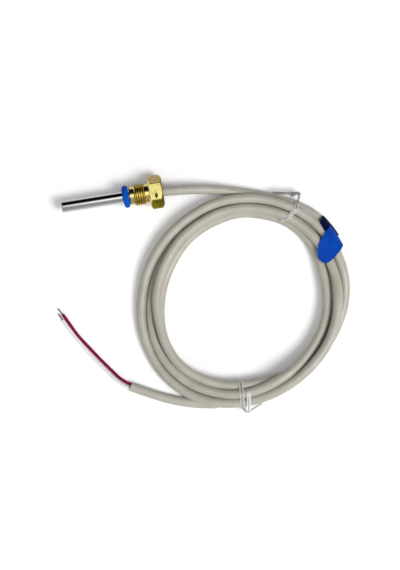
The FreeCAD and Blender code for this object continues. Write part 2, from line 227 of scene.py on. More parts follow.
def mottleGroup():
    # cloudy change between two colours, with fine grain over it
    group, given, result = groupStart(
        "cloudyMottle",
        [
            ("Vector", "Vector", None),
            ("Cloud Scale", "Float", 60.0),
            ("Grain Scale", "Float", 1500.0),
            ("Light", "Color", (1, 1, 1, 1)),
            ("Dark", "Color", (0, 0, 0, 1)),
        ],
        [("Color", "Color"), ("Grain", "Float")],
    )
    cloud = addNode(group, "TexNoise", Detail=4.0, Roughness=0.6)
    grain = addNode(group, "TexNoise", Detail=2.0, Roughness=0.5)
    ramp = addNode(group, "MapRange", From_Min=0.32, From_Max=0.68)
    mix = addNode(group, "Mix", {"data_type": "RGBA"})
    for texture, scale in ((cloud, "Cloud Scale"), (grain, "Grain Scale")):
        wire(group, given, "Vector", texture, "Vector")
        wire(group, given, scale, texture, "Scale")
    wire(group, cloud, "Fac", ramp, "Value")
    wire(group, ramp, "Result", mix, "Factor")
    wire(group, given, "Light", mix, "A")
    wire(group, given, "Dark", mix, "B")
    wire(group, mix, "Result", result, "Color")
    wire(group, grain, "Fac", result, "Grain")
    return group


def streakGroup():
    # fine lines that run one way, from noise that is stretched along them
    group, given, result = groupStart(
        "drawnStreaks",
        [
            ("Vector", "Vector", None),
            ("Stretch", "Vector", (1.0, 1.0, 1.0)),
            ("Scale", "Float", 400.0),
            ("Low", "Float", 0.2),
            ("High", "Float", 0.4),
        ],
        [("Value", "Float"), ("Lines", "Float")],
    )
    stretch = addNode(group, "VectorMath", {"operation": "MULTIPLY"})
    lines = addNode(group, "TexNoise", Detail=3.0, Roughness=0.65)
    spread = addNode(group, "MapRange", From_Min=0.3, From_Max=0.7)
    wire(group, given, "Vector", stretch, 0)
    wire(group, given, "Stretch", stretch, 1)
    wire(group, stretch, "Vector", lines, "Vector")
    wire(group, given, "Scale", lines, "Scale")
    wire(group, lines, "Fac", spread, "Value")
    wire(group, given, "Low", spread, "To Min")
    wire(group, given, "High", spread, "To Max")
    wire(group, spread, "Result", result, "Value")
    wire(group, lines, "Fac", result, "Lines")
    return group


def speckleGroup():
    # small scattered spots, as pits and stains in metal
    group, given, result = groupStart(
        "speckles",
        [
            ("Vector", "Vector", None),
            ("Scale", "Float", 1500.0),
            ("Start", "Float", 0.62),
            ("Full", "Float", 0.70),
        ],
        [("Mask", "Float")],
    )
    spots = addNode(group, "TexNoise", Detail=1.0, Roughness=0.4)
    wire(group, given, "Vector", spots, "Vector")
    wire(group, given, "Scale", spots, "Scale")
    softLimit(group, given, spots, "Fac", result, "Mask")
    return group


def slopeGroup():
    # a change from one side of the piece to the other, or outwards from its axis
    group, given, result = groupStart(
        "sideChange",
        [
            ("Vector", "Vector", None),
            ("Middle", "Vector", (0.0, 0.0, 0.0)),
            ("Towards", "Vector", (0.0, 0.0, 1.0)),
            ("Start", "Float", 0.0),
            ("Full", "Float", 1.0),
        ],
        [("Side", "Float"), ("Outward", "Float")],
    )
    offset = addNode(group, "VectorMath", {"operation": "SUBTRACT"})
    toward = addNode(group, "VectorMath", {"operation": "DOT_PRODUCT"})
    across = addNode(group, "VectorMath", {"operation": "MULTIPLY"})
    across.inputs[1].default_value = (0.0, 1.0, 1.0)
    reach = addNode(group, "VectorMath", {"operation": "LENGTH"})
    wire(group, given, "Vector", offset, 0)
    wire(group, given, "Middle", offset, 1)
    wire(group, offset, "Vector", toward, 0)
    wire(group, given, "Towards", toward, 1)
    wire(group, offset, "Vector", across, 0)
    wire(group, across, "Vector", reach, 0)
    for source, output in ((toward, "Side"), (reach, "Outward")):
        softLimit(group, given, source, "Value", result, output)
    return group


mottle = mottleGroup()
streaks = streakGroup()
speckles = speckleGroup()
sideChange = slopeGroup()


def placeGroup(material, group, coordinates, **inputs):
    tree = material.node_tree
    node = addNode(tree, "Group", {"node_tree": group}, **inputs)
    coordinate = addNode(tree, "TexCoord")
    wire(tree, coordinate, coordinates, node, "Vector")
    return node


def addBump(material, height, strength, distance):
    tree = material.node_tree
    bump = addNode(tree, "Bump", Strength=strength, Distance=distance)
    tree.links.new(height, bump.inputs["Height"])
    wire(tree, bump, "Normal", shaderOf(material), "Normal")


def mottledFinish(
    name, light, dark, roughness, cloudScale=90.0, grainScale=2500.0, bump=0.12, **sockets
):
    material = newFinish(name, **sockets)
    tree = material.node_tree
    cloudy = placeGroup(
        material, mottle, "Object", Cloud_Scale=cloudScale, Grain_Scale=grainScale,
        Light=(*light, 1), Dark=(*dark, 1),
    )
    spread = addNode(tree, "MapRange", To_Min=roughness[0], To_Max=roughness[1])
    wire(tree, cloudy, "Color", shaderOf(material), "Base Color")
    wire(tree, cloudy, "Grain", spread, "Value")
    wire(tree, spread, "Result", shaderOf(material), "Roughness")
    addBump(material, cloudy.outputs["Grain"], strength=bump, distance=0.0001)
    return material


def steelFinish():
    material = newFinish("polishedSteel", Metallic=1.0, Base_Color=(0.50, 0.50, 0.495, 1))
    tree = material.node_tree
    drawn = placeGroup(
        material, streaks, "Object", Stretch=(0.06, 1.0, 1.0), Scale=2600.0, Low=0.05, High=0.16,
    )
    wire(tree, drawn, "Value", shaderOf(material), "Roughness")
    addBump(material, drawn.outputs["Lines"], strength=0.08, distance=0.00003)
    return material


def mixOver(material, below, mask, colour):
    # one colour laid over another where the mask says
    tree = material.node_tree
    mix = addNode(tree, "Mix", {"data_type": "RGBA"}, B=(*colour, 1))
    tree.links.new(below, mix.inputs["A"])
    tree.links.new(mask, mix.inputs["Factor"])
    return mix.outputs["Result"]


def brassFinish(name, stretch, roughness, light, dark, shadesAndStains):
    material = newFinish(name, Metallic=1.0)
    tree = material.node_tree
    cloudy = placeGroup(
        material, mottle, "Object", Cloud_Scale=420.0, Grain_Scale=3200.0,
        Light=(*light, 1), Dark=(*dark, 1),
    )
    marks = placeGroup(
        material, streaks, "Object", Stretch=stretch, Scale=3000.0, Low=roughness[0], High=roughness[1],
    )
    spots = placeGroup(material, speckles, "Object", Scale=2100.0, Start=0.61, Full=0.70)
    colour = cloudy.outputs["Color"]
    # painted shade and painted reflections, and stains, laid over the brass by side and by distance from
    # the axis
    for output, shadeAndStainColour, place in shadesAndStains:
        shadeAndStainMask = placeGroup(material, sideChange, "Object", Middle=brassAxis, **place)
        colour = mixOver(material, colour, shadeAndStainMask.outputs[output], shadeAndStainColour)
    colour = mixOver(material, colour, spots.outputs["Mask"], brassPits)
    tree.links.new(colour, shaderOf(material).inputs["Base Color"])
    wire(tree, marks, "Value", shaderOf(material), "Roughness")
    addBump(material, marks.outputs["Lines"], strength=0.15, distance=0.00004)
    return material


def jacketFinish():
    material = newFinish("greyPvc", IOR=1.46)
    tree = material.node_tree
    cloudy = placeGroup(
        material, mottle, "Object", Cloud_Scale=130.0, Grain_Scale=2600.0,
        Light=(0.45, 0.43, 0.37, 1), Dark=(0.39, 0.37, 0.31, 1),
    )
    lines = placeGroup(
        material, streaks, "UV", Stretch=(24.0, 9.0, 1.0), Scale=1.0, Low=0.34, High=0.5,
    )
    wire(tree, cloudy, "Color", shaderOf(material), "Base Color")
    wire(tree, lines, "Value", shaderOf(material), "Roughness")
    addBump(material, lines.outputs["Lines"], strength=0.25, distance=0.0002)
    return material


def ribbonFinish(name, colour, alpha):
    material = newFinish(name, Base_Color=(*colour, 1), IOR=1.5)
    tree = material.node_tree
    lines = placeGroup(
        material, streaks, "Object", Stretch=(1.0, 1.0, 1.0), Scale=900.0, Low=0.06, High=0.22,
    )
    spread = addNode(tree, "MapRange", From_Min=0.3, From_Max=0.7, To_Min=alpha[0], To_Max=alpha[1])
    wire(tree, lines, "Value", shaderOf(material), "Roughness")
    wire(tree, lines, "Lines", spread, "Value")
    wire(tree, spread, "Result", shaderOf(material), "Alpha")
    addBump(material, lines.outputs["Lines"], strength=0.3, distance=0.0003)
    return material


floorFinish = whiteFloor()
cardFinish = newFinish(
    "darkCard", Base_Color=(0.004, 0.004, 0.004, 1), Roughness=1.0, Specular_IOR_Level=0.0,
)
polishedSteel = steelFinish()
brassAxis = (0.0, 0.0, 0.0065)
brassPits = (0.26, 0.19, 0.04)
turnedBrass = brassFinish(
    "turnedBrass", (1.0, 0.04, 0.04), (0.12, 0.26), (0.74, 0.61, 0.27), (0.62, 0.48, 0.17),
    # darker inside the bore, under 3.4 mm from the axis
    [("Outward", (0.20, 0.12, 0.02), {"Start": 0.0034, "Full": 0.0030})],
)
threadBrass = brassFinish(
    "threadBrass", (1.0, 0.04, 0.04), (0.18, 0.32), (0.95, 0.83, 0.27), (0.85, 0.70, 0.19),
    # painted reflections: darker on the thread's sides towards +Y and -Y
    [
        ("Side", (0.36, 0.30, 0.10), {"Towards": (0.0, 1.0, 0.0), "Start": 0.0030, "Full": 0.0040}),
        ("Side", (0.52, 0.39, 0.09), {"Towards": (0.0, -1.0, 0.0), "Start": 0.0010, "Full": 0.0042}),
        # darker in the roots: painted shade, with some dirt
        ("Outward", (0.34, 0.21, 0.025), {"Start": 0.00472, "Full": 0.00442}),
    ],
)
# dark brass for the seal holes' walls: painted shade inside the holes, with some stain
holeShadeAndStainBrass = mottledFinish(
    "holeShadeAndStainBrass", (0.20, 0.14, 0.03), (0.12, 0.08, 0.015), (0.30, 0.45), 700.0, Metallic=1.0,
)
# darker brass for the hexagon's rear chamfer: painted shade
shadedBackBrass = mottledFinish(
    "shadedBackBrass", (0.24, 0.19, 0.045), (0.15, 0.11, 0.02), (0.28, 0.42), 500.0, Metallic=1.0,
)
drawnBrass = brassFinish(
    "drawnBrass", (0.06, 1.0, 1.0), (0.16, 0.30), (0.56, 0.51, 0.19), (0.47, 0.41, 0.135),
    [
        # painted reflections: dark olive on the hexagon's faces towards -Y, tan on those towards +Y
        ("Side", (0.54, 0.46, 0.004), {"Towards": (0.0, 0.5, 0.87), "Start": 0.0036, "Full": 0.0026}),
        ("Side", (0.35, 0.25, 0.070), {"Towards": (0.0, -0.5, 0.87), "Start": 0.0036, "Full": 0.0026}),
    ],
)
blueRubber = mottledFinish(
    "blueRubber", (0.002, 0.094, 0.50), (0.002, 0.066, 0.41), (0.40, 0.54), 250.0, 3000.0, 0.10,
    Specular_IOR_Level=0.03,
)
greyPvc = jacketFinish()
redInsulation = mottledFinish(
    "redInsulation", (0.24, 0.003, 0.048), (0.18, 0.002, 0.034), (0.30, 0.42), 300.0,
    Specular_IOR_Level=0.1,
)
whiteInsulation = mottledFinish(
    "whiteInsulation", (0.84, 0.84, 0.83), (0.76, 0.76, 0.75), (0.30, 0.42), 300.0,
)
tinnedCopper = mottledFinish(
    "tinnedCopper", (0.62, 0.62, 0.61), (0.45, 0.43, 0.40), (0.28, 0.44), 900.0, Metallic=1.0,
)
blueVinyl = mottledFinish(
    "blueVinyl", (0.002, 0.066, 0.43), (0.002, 0.043, 0.33), (0.34, 0.48), 160.0, 1800.0,
    Specular_IOR_Level=0.03,
)
# the tag's back layer: the blue vinyl darkened to navy, painted shade
shadedTagVinyl = mottledFinish(
    "shadedTagVinyl", (0.002, 0.006, 0.060), (0.002, 0.003, 0.020), (0.38, 0.52), 160.0, 1800.0,
    Specular_IOR_Level=0.03,
)
cutVinyl = mottledFinish("cutVinyl", (0.62, 0.70, 0.85), (0.50, 0.60, 0.80), (0.45, 0.60), 400.0)
clearRibbon = ribbonFinish("clearRibbon", (0.86, 0.87, 0.86), (0.12, 0.34))
greyRibbon = ribbonFinish("greyRibbon", (0.20, 0.20, 0.20), (0.45, 0.85))
paleRibbon = ribbonFinish("paleRibbon", (0.88, 0.89, 0.88), (0.35, 0.70))
bareWire = mottledFinish(
    "bareWire", (0.30, 0.30, 0.29), (0.16, 0.155, 0.15), (0.30, 0.45), 900.0, Metallic=1.0,
)
tieWire = mottledFinish(
    "tieWire", (0.50, 0.50, 0.50), (0.32, 0.32, 0.32), (0.30, 0.45), 700.0, Metallic=1.0,
)

addCamera()
addFloor(floorFinish)
addDarkCard(cardFinish)
addSky()
addLamp("keyLamp")
addLamp("topLamp")
print("stage: camera, floor and light")


# Cable and cores

cable = {
    "diameter": 4.2,
    "length": 1.28,  # metres, from inside the stem to the cut end
    "leadRoute": [(14.75, 0, 6.5), (28.5, -0.5, 6.5), (44.0, -2.6, 5.0), (55.0, -5.5, 3.1)],
    "tailRoute": [
        (29.5, -97.1, 2.6), (20.5, -95.4, 2.2), (11.3, -92.2, 2.1), (3.0, -88.2, 2.1),
        (-4.61, -84.0, 2.1),
    ],
    "coilCentre": (49.95, -52.17),
    "coilLay": -8.8,  # degrees from +X to station 0
    "tieStations": (90, 300),
    "tieLift": 0.4,  # the ties pass under the strands there
    "turns": [  # station in degrees, clockwise, then radius and height of the strand's middle
        [
            (285, 46.0, 2.1), (300, 47.3, 2.1), (315, 49.5, 2.1), (330, 48.0, 2.1), (345, 44.9, 2.1),
            (0, 42.4, 2.1), (15, 39.6, 2.1), (30, 39.2, 2.1), (45, 39.2, 2.1), (60, 40.2, 2.1),
            (75, 40.6, 2.1), (90, 41.0, 2.1), (105, 41.8, 2.1), (120, 42.2, 2.1), (135, 41.3, 2.1),
            (150, 39.8, 2.1), (165, 37.7, 2.1), (180, 36.0, 2.1), (195, 35.0, 2.1), (210, 34.5, 2.1),
            (225, 35.1, 2.1), (240, 35.4, 2.1), (255, 36.1, 2.1), (270, 37.6, 2.1),
        ],
        [
            (285, 37.8, 2.1), (300, 39.1, 2.1), (315, 39.3, 2.2), (330, 38.4, 3.2), (345, 37.4, 4.9),
            (0, 37.9, 5.2), (15, 38.3, 6.0), (30, 38.4, 6.2), (45, 38.5, 7.4), (60, 39.4, 10.0),
            (75, 41.0, 9.2), (90, 42.9, 8.1), (105, 44.0, 6.4), (120, 44.7, 5.4), (135, 44.7, 4.5),
            (150, 43.8, 3.0), (165, 41.9, 2.1), (180, 40.3, 2.1), (195, 39.2, 2.1), (210, 38.8, 2.1),
            (225, 39.1, 2.1), (240, 39.6, 2.1), (255, 40.6, 2.1), (270, 41.7, 2.1),
        ],
        [
            (285, 41.8, 2.1), (300, 43.2, 2.1), (315, 43.6, 2.1), (330, 42.4, 2.1), (345, 40.4, 2.1),
            (0, 42.0, 6.0), (15, 42.6, 6.2), (30, 42.9, 6.2), (45, 42.5, 6.1), (60, 39.7, 6.0),
            (75, 38.5, 5.7), (90, 39.2, 5.9), (105, 39.9, 5.9), (120, 40.6, 6.0), (135, 40.9, 6.0),
            (150, 39.6, 6.1), (165, 38.2, 6.1), (180, 38.0, 5.8), (195, 37.3, 5.8), (210, 37.1, 5.8),
            (225, 37.5, 5.8), (240, 37.7, 5.8), (255, 38.7, 5.8), (270, 39.6, 5.74),
        ],
        [
            (285, 40.1, 5.75), (300, 41.1, 5.75), (315, 41.4, 5.8), (330, 42.0, 6.4), (345, 42.4, 6.6),
            (0, 42.4, 9.9), (15, 42.8, 10.2), (30, 43.0, 10.3), (45, 43.0, 10.2), (60, 43.7, 9.6),
            (75, 45.0, 8.0), (90, 46.7, 6.0), (105, 48.3, 6.3), (120, 49.1, 4.0), (135, 48.9, 2.8),
            (150, 47.7, 2.1), (165, 46.2, 2.6), (180, 44.4, 3.3), (195, 43.6, 4.2), (210, 42.7, 5.3),
            (225, 42.4, 6.4), (240, 42.5, 7.0), (255, 43.3, 7.1), (270, 43.7, 6.7),
        ],
        [
            (285, 44.6, 5.75), (300, 45.4, 5.75), (315, 46.2, 5.2), (330, 46.4, 6.0), (345, 46.5, 6.0),
            (0, 46.0, 3.7), (15, 44.5, 2.6), (30, 43.3, 2.2), (45, 42.9, 2.1), (60, 43.9, 2.1),
            (75, 44.8, 2.1), (90, 45.2, 2.1), (105, 48.8, 2.1),
        ],
    ],
    "stationStep": 15,
}
cores = {
    "diameter": 1.4,
    "length": 0.0445,
    "side": 0.875,  # from the cable's middle to a core's middle
    "exitRun": 4.6,
    "redRoute": [
        (-12.6, -75.3, 0.9), (-17.0, -69.4, 0.75), (-21.3, -63.0, 0.75), (-25.2, -57.4, 0.75),
        (-28.3, -50.8, 0.75), (-30.2, -47.2, 0.75),
    ],
    "whiteRoute": [
        (-14.1, -76.2, 0.85), (-18.8, -70.0, 0.72), (-23.0, -63.3, 0.72), (-27.5, -55.8, 0.72),
        (-30.6, -49.6, 0.72),
    ],
}


def stationDirection(degrees):
    angle = math.radians(cable["coilLay"] - degrees)
    return Vector((math.cos(angle), math.sin(angle), 0))


def strandLift(degrees):
    return cable["tieLift"] if degrees in cable["tieStations"] else 0.0


def coilPoints():
    centre = Vector((*cable["coilCentre"], 0))
    stretch = 1 / math.cos(math.radians(cable["stationStep"] / 2))  # the spline runs inside its points
    points = []
    for turn in cable["turns"]:
        for degrees, radius, height in turn:
            level = Vector((0, 0, height + strandLift(degrees)))
            points.append(centre + stationDirection(degrees) * radius * stretch + level)
    return points


def roundCurve(name, lines, diameter, resolution, roundness):
    # round lines, each a spline that its points pull, in metres
    freshStart()
    curve = bpy.data.curves.new(name, "CURVE")
    curve.dimensions = "3D"
    for line in lines:
        spline = curve.splines.new("NURBS")
        spline.points.add(len(line) - 1)
        for place, point in zip(spline.points, line):
            place.co = (*point, 1)
        spline.order_u = 3
        spline.use_endpoint_u = True
        spline.resolution_u = resolution
    curve.bevel_depth = diameter / 2 * mm
    curve.bevel_resolution = roundness
    curve.use_fill_caps = True
    piece = bpy.data.objects.new(name, curve)
    bpy.context.scene.collection.objects.link(piece)
    return piece


def cordPiece(name, points, diameter, finish, resolution):
    line = [Vector(point) * mm for point in points]
    piece = roundCurve(name, [line], diameter, resolution, roundness=7)
    piece.data.materials.append(finish)
    return piece


def routeHeading(route):
    return (Vector(route[-1]) - Vector(route[-2])).normalized()


def coreStart(side):
    heading = routeHeading(cable["tailRoute"])
    start = Vector(cable["tailRoute"][-1]) + heading.cross(Vector((0, 0, 1))) * side
    return [start, start + heading * cores["exitRun"]]


cableRoute = cable["leadRoute"] + coilPoints() + cable["tailRoute"]
mainCable = cordPiece("grey_cable", cableRoute, cable["diameter"], greyPvc, resolution=6)
redLine = coreStart(cores["side"]) + cores["redRoute"]
whiteLine = coreStart(-cores["side"]) + cores["whiteRoute"]
redCore = cordPiece("red_core", redLine, cores["diameter"], redInsulation, resolution=12)
whiteCore = cordPiece("white_core", whiteLine, cores["diameter"], whiteInsulation, resolution=12)
for piece, slot, replaced in (
    (mainCable, "cable_jacket", ("cable_lead", "cable_coil", "cable_tail")),
    (redCore, "red_insulation", ("core_red",)),
    (whiteCore, "white_insulation", ("core_white",)),
):
    dress(piece, probeBody, slot, *replaced)
jacketEnd = Vector(cable["tailRoute"][-1]) * mm
print("stage: cable and cores")


# Stem, screw and seal ring

screwLow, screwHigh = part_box("threaded_fitting")
stemLow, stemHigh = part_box("sheath")
axisHeight = (screwLow.z + screwHigh.z) / 2
stemAxis = Vector((0, 0, axisHeight))
alongStem = Vector((1, 0, 0))

stem = {
    "radius": 2.6,
    "innerRadius": 2.2,
    "tipRound": 0.6,
    "tipSteps": 8,
    "tipWall": 0.6,
    "seat": (4.55, 7.55, 2.4),  # start, end and radius of the ring's seat
    "bead": (4.15, 7.95, 2.0),  # the seat's inner side
    "collar": (7.85, 8.75, 3.3),
    "flareLength": 0.9,
    "flareGrowth": 0.4,
}
screw = {
    "pilotRadius": 4.1,
    "pilotLength": 2.05,
    "pilotChamfer": 0.4,
    "threadRadius": 5.0,
    "threadLength": 5.0,
    "threadPitch": 1.0,
    "threadDepth": 0.58,
    "threadChamfer": 0.55,
    "threadSteps": 72,  # in one turn
    "reliefRadius": 4.35,
    "reliefLength": 1.75,
    "hexFaceMargin": 0.45,
    "hexChamfer": 36.0,
    "hexEdgeRound": 0.32,
    "sealHoleRadius": 0.6,
    "sealHoleInset": 1.0,
    "sealHoleReach": 6.5,  # of the drill, both ways
    "sealHoles": 3,
    "boreRadius": 2.65,
    "collarSeat": (3.4, 1.1),  # radius and depth
    "sinkRadius": 3.14,
    "sinkDepth": 1.1,
}
ring = {
    "section": 2.6,
    "front": 4.75,
    "middleRadius": 3.73,
    "swell": 1.1,
    "swellStart": 0.3,  # under the top of the ring's middle line
    "swellReach": 3.2,
    "bow": 0.22,
    "bowReach": 4.0,
}


def editAll():
    useMode("EDIT")
    bpy.ops.mesh.select_all(action="SELECT")


def selectParts(piece, test, kind="VERT"):
    useMode("EDIT")
    bpy.ops.mesh.select_mode(type=kind)
    bpy.ops.mesh.select_all(action="DESELECT")
    useMode("OBJECT")
    for part in piece.data.edges if kind == "EDGE" else piece.data.vertices:
        part.select = test(part)
    useMode("EDIT")


def closeUp(piece, smoothAngle=32):
    editAll()
    bpy.ops.mesh.remove_doubles(threshold=1e-7)
    bpy.ops.mesh.normals_make_consistent(inside=False)
    useMode("OBJECT")
    bpy.ops.object.shade_smooth_by_angle(angle=math.radians(smoothAngle))


def turnedPiece(
    name, stations, finish, start=stemAxis, heading=alongStem, segments=96, ringShaped=False,
):
    # one circle pulled along the heading from station to station: distance and radius in millimetres
    freshStart()
    facing = heading.to_track_quat("Z", "Y").to_euler()
    distance, radius = stations[0]
    bpy.ops.mesh.primitive_circle_add(
        vertices=segments, radius=radius * mm, location=start + heading * distance * mm,
        rotation=facing,
    )
    piece = bpy.context.active_object
    piece.name = name
    bpy.ops.object.transform_apply(location=True, rotation=True, scale=True)
    editAll()
    for nextDistance, nextRadius in stations[1:]:
        step = heading * (nextDistance - distance) * mm
        growth = nextRadius / radius
        bpy.ops.mesh.extrude_region_move(TRANSFORM_OT_translate={"value": step})
        middle = start + heading * nextDistance * mm
        bpy.ops.transform.resize(value=(growth,) * 3, center_override=middle)
        distance, radius = nextDistance, nextRadius
    if not ringShaped:
        bpy.ops.mesh.edge_face_add()
        selectParts(piece, lambda vertex: vertex.index < segments)
        bpy.ops.mesh.edge_face_add()
    closeUp(piece)
    piece.data.materials.append(finish)
    return piece


def carve(piece, tool, operation):
    modifier = piece.modifiers.new("carve", "BOOLEAN")
    modifier.operation = operation
    modifier.solver = "EXACT"
    modifier.material_mode = "TRANSFER"
    modifier.object = tool
    pickOut(piece)
    bpy.ops.object.modifier_apply(modifier=modifier.name)
    bpy.data.objects.remove(tool)


def stemStations():
    tip = stemLow.x / mm
    back = stemHigh.x / mm
    radius, inner = stem["radius"], stem["innerRadius"]
    bend = stem["tipRound"]
    stations = []
    for step in range(stem["tipSteps"] + 1):
        angle = math.pi / 2 * step / stem["tipSteps"]
        stations.append((tip + bend * (1 - math.sin(angle)), radius - bend * (1 - math.cos(angle))))
    stations.reverse()
    seatStart, seatEnd, seatRadius = stem["seat"]
    stations += [(seatStart, radius), (seatStart, seatRadius), (seatEnd, seatRadius), (seatEnd, radius)]
    collarStart, collarEnd, collarRadius = stem["collar"]
    stations += [(collarStart, radius), (collarStart, collarRadius)]
    stations += [(collarEnd, collarRadius), (collarEnd, radius)]
    flareStart, growth = back - stem["flareLength"], stem["flareGrowth"]
    stations += [(flareStart, radius), (back, radius + growth)]
    stations += [(back, inner + growth), (flareStart, inner)]
    beadStart, beadEnd, beadRadius = stem["bead"]
    stations += [(beadEnd, inner), (beadEnd, beadRadius), (beadStart, beadRadius), (beadStart, inner)]
    return stations + [(tip + stem["tipWall"], inner)]


def threadPiece(start, end):
    # one tooth of the thread, screwed round the axis, cut square and chamfered at both ends
    pitch = screw["threadPitch"]
    crest = screw["threadRadius"]
    root = crest - screw["threadDepth"]
    tooth = [(0, root), (0.08, root), (0.40, crest), (0.60, crest), (0.92, root), (1, root)]
    early, late = 2, 1  # turns beyond the cut ends
    freshStart()
    bpy.ops.mesh.primitive_plane_add(size=mm, location=((start - early * pitch) * mm, 0, root * mm))
    piece = bpy.context.active_object
    piece.name = "threadTooth"
    bpy.ops.object.transform_apply(location=True)
    editAll()
    bpy.ops.mesh.merge(type="CENTER")
    for (share, radius), (nextShare, nextRadius) in zip(tooth, tooth[1:]):
        step = Vector(((nextShare - share) * pitch, 0, nextRadius - radius)) * mm
        bpy.ops.mesh.extrude_vertices_move(TRANSFORM_OT_translate={"value": step})
    useMode("OBJECT")
    turns = piece.modifiers.new("turns", "SCREW")
    turns.axis = "X"
    turns.screw_offset = pitch * mm
    turns.iterations = math.ceil((end - start) / pitch) + early + late
    turns.steps = turns.render_steps = screw["threadSteps"]
    bpy.ops.object.modifier_apply(modifier=turns.name)
    editAll()
    bpy.ops.mesh.remove_doubles(threshold=1e-6)
    bpy.ops.transform.translate(value=stemAxis)
    for place, side in ((start, 1), (end, -1)):
        editAll()
        bpy.ops.mesh.bisect(
            plane_co=(place * mm, 0, 0), plane_no=(side, 0, 0), use_fill=True, clear_inner=True,
            threshold=1e-8,
        )
    closeUp(piece)
    chamfer = screw["threadChamfer"]
    spare = 0.06
    blank = turnedPiece("threadBlank", [
        (start - spare, crest - chamfer - spare), (start + chamfer + spare, crest + spare),
        (end - chamfer - spare, crest + spare), (end + spare, crest - chamfer - spare),
    ], threadBrass)
    piece.data.materials.append(threadBrass)
    carve(piece, blank, "INTERSECT")
    return piece


def hexagonPiece(start, end):
    flats = (screwHigh.z - screwLow.z) / mm
    corner = flats / 2 / math.cos(math.pi / 6)
    freshStart()
    spare, overhang = 1.0, 0.3  # of the bar beyond the hexagon, and of the cutters beyond its corners
    middle = Vector(((start + end) / 2 * mm, 0, axisHeight))
    bpy.ops.mesh.primitive_cylinder_add(
        vertices=6, radius=corner * mm, depth=(end - start + 2 * spare) * mm, location=middle,
        rotation=(0, math.pi / 2, 0),
    )
    piece = bpy.context.active_object
    piece.name = "brass_screw"
    bpy.ops.object.transform_apply(location=True, rotation=True)
    piece.data.materials.append(drawnBrass)

    def lengthwise(edge):
        ends = [piece.data.vertices[index].co for index in edge.vertices]
        return abs(ends[0].x - ends[1].x) > spare * mm

    selectParts(piece, lengthwise, "EDGE")
    bpy.ops.mesh.bevel(offset=screw["hexEdgeRound"] * mm, segments=3)
    useMode("OBJECT")
    face = flats / 2 - screw["hexFaceMargin"]
    wide = corner + overhang
    drop = (wide - face) * math.tan(math.radians(screw["hexChamfer"]))
    front = [(start, face), (start + drop, wide), (end + 2 * spare, wide)]
    rear = [(start - 2 * spare, wide), (end - drop, wide), (end, face)]
    for stations, finish in ((front, turnedBrass), (rear, shadedBackBrass)):
        cutter = turnedPiece("hexChamfer", stations, finish, segments=144)
        carve(piece, cutter, "INTERSECT")
    return piece


def sealHole(count):
    angle = count * 2 * math.pi / screw["sealHoles"]
    corner = (screwHigh.z - screwLow.z) / 2 / math.cos(math.pi / 6)
    outward = Vector((0, math.cos(angle), math.sin(angle)))
    across = Vector((0, -math.sin(angle), math.cos(angle)))
    hexLength = screwHigh.x / mm - screwStations()["hex"]
    middle = Vector((screwHigh.x - hexLength / 2 * mm, 0, axisHeight))
    middle += outward * (corner - screw["sealHoleInset"] * mm)
    reach, radius = screw["sealHoleReach"], screw["sealHoleRadius"]
    stations = [(-reach, radius), (reach, radius)]
    return turnedPiece("sealHole", stations, holeShadeAndStainBrass, middle, across, segments=32)


def screwStations():
    pilot = screwLow.x / mm
    thread = pilot + screw["pilotLength"]
    relief = thread + screw["threadLength"]
    return {"pilot": pilot, "thread": thread, "relief": relief, "hex": relief + screw["reliefLength"]}


def brassScrew():
    at = screwStations()
    back = screwHigh.x / mm
    piece = hexagonPiece(at["hex"], back)
    pilotRadius, relief = screw["pilotRadius"], screw["reliefRadius"]
    chamfer = screw["pilotChamfer"]
    inThread, inHex, taper = 0.2, 1.0, 0.2  # how far the shank reaches into both, and its last step
    widen, narrow = 0.1, 0.3  # how its radius changes in the thread and at its end
    shank = turnedPiece("shank", [
        (at["pilot"], pilotRadius - chamfer), (at["pilot"] + chamfer, pilotRadius),
        (at["thread"], pilotRadius), (at["thread"] + inThread, pilotRadius + widen),
        (at["relief"] - inThread, relief), (at["hex"] + inHex, relief),
        (at["hex"] + inHex + taper, relief - narrow),
    ], turnedBrass)
    carve(shank, threadPiece(at["thread"], at["relief"]), "UNION")
    carve(piece, shank, "UNION")
    seatRadius, seatDepth = screw["collarSeat"]
    sink = screw["sinkRadius"] - screw["boreRadius"]
    bore = turnedPiece("bore", [
        (at["pilot"] - 1, seatRadius), (at["pilot"] + seatDepth, seatRadius),
        (at["pilot"] + seatDepth, screw["boreRadius"]), (back - screw["sinkDepth"], screw["boreRadius"]),
        (back, screw["sinkRadius"]), (back + 1, screw["sinkRadius"] + sink / screw["sinkDepth"]),
    ], turnedBrass)
    carve(piece, bore, "DIFFERENCE")
    for count in range(screw["sealHoles"]):
        carve(piece, sealHole(count), "DIFFERENCE")
    closeUp(piece)
    return piece


def sealRing():
    freshStart()
    section = ring["section"] / 2
    middle = stemAxis + alongStem * (ring["front"] + section) * mm
    bpy.ops.mesh.primitive_torus_add(
        location=middle, rotation=(0, math.pi / 2, 0), major_segments=96, minor_segments=32,
        major_radius=ring["middleRadius"] * mm, minor_radius=section * mm,
    )
    piece = bpy.context.active_object
    piece.name = "seal_ring_blue"
    bpy.ops.object.transform_apply(location=True, rotation=True)
    # a little wider on top, where it is loose, and bowed towards the screw on one side
    top = middle.z + ring["middleRadius"] * mm
    selectParts(piece, lambda vertex: vertex.co.z > top - ring["swellStart"] * mm)
    bpy.ops.transform.resize(
        value=(ring["swell"], 1, 1), center_override=middle, use_proportional_edit=True,
        proportional_edit_falloff="SMOOTH", proportional_size=ring["swellReach"] * mm,
    )
    selectParts(piece, lambda vertex: vertex.co.y < middle.y - ring["middleRadius"] * mm)
    bpy.ops.transform.translate(
        value=(ring["bow"] * mm, 0, 0), use_proportional_edit=True,
        proportional_edit_falloff="SMOOTH", proportional_size=ring["bowReach"] * mm,
    )
    closeUp(piece, smoothAngle=60)
    piece.data.materials.append(blueRubber)
    return piece


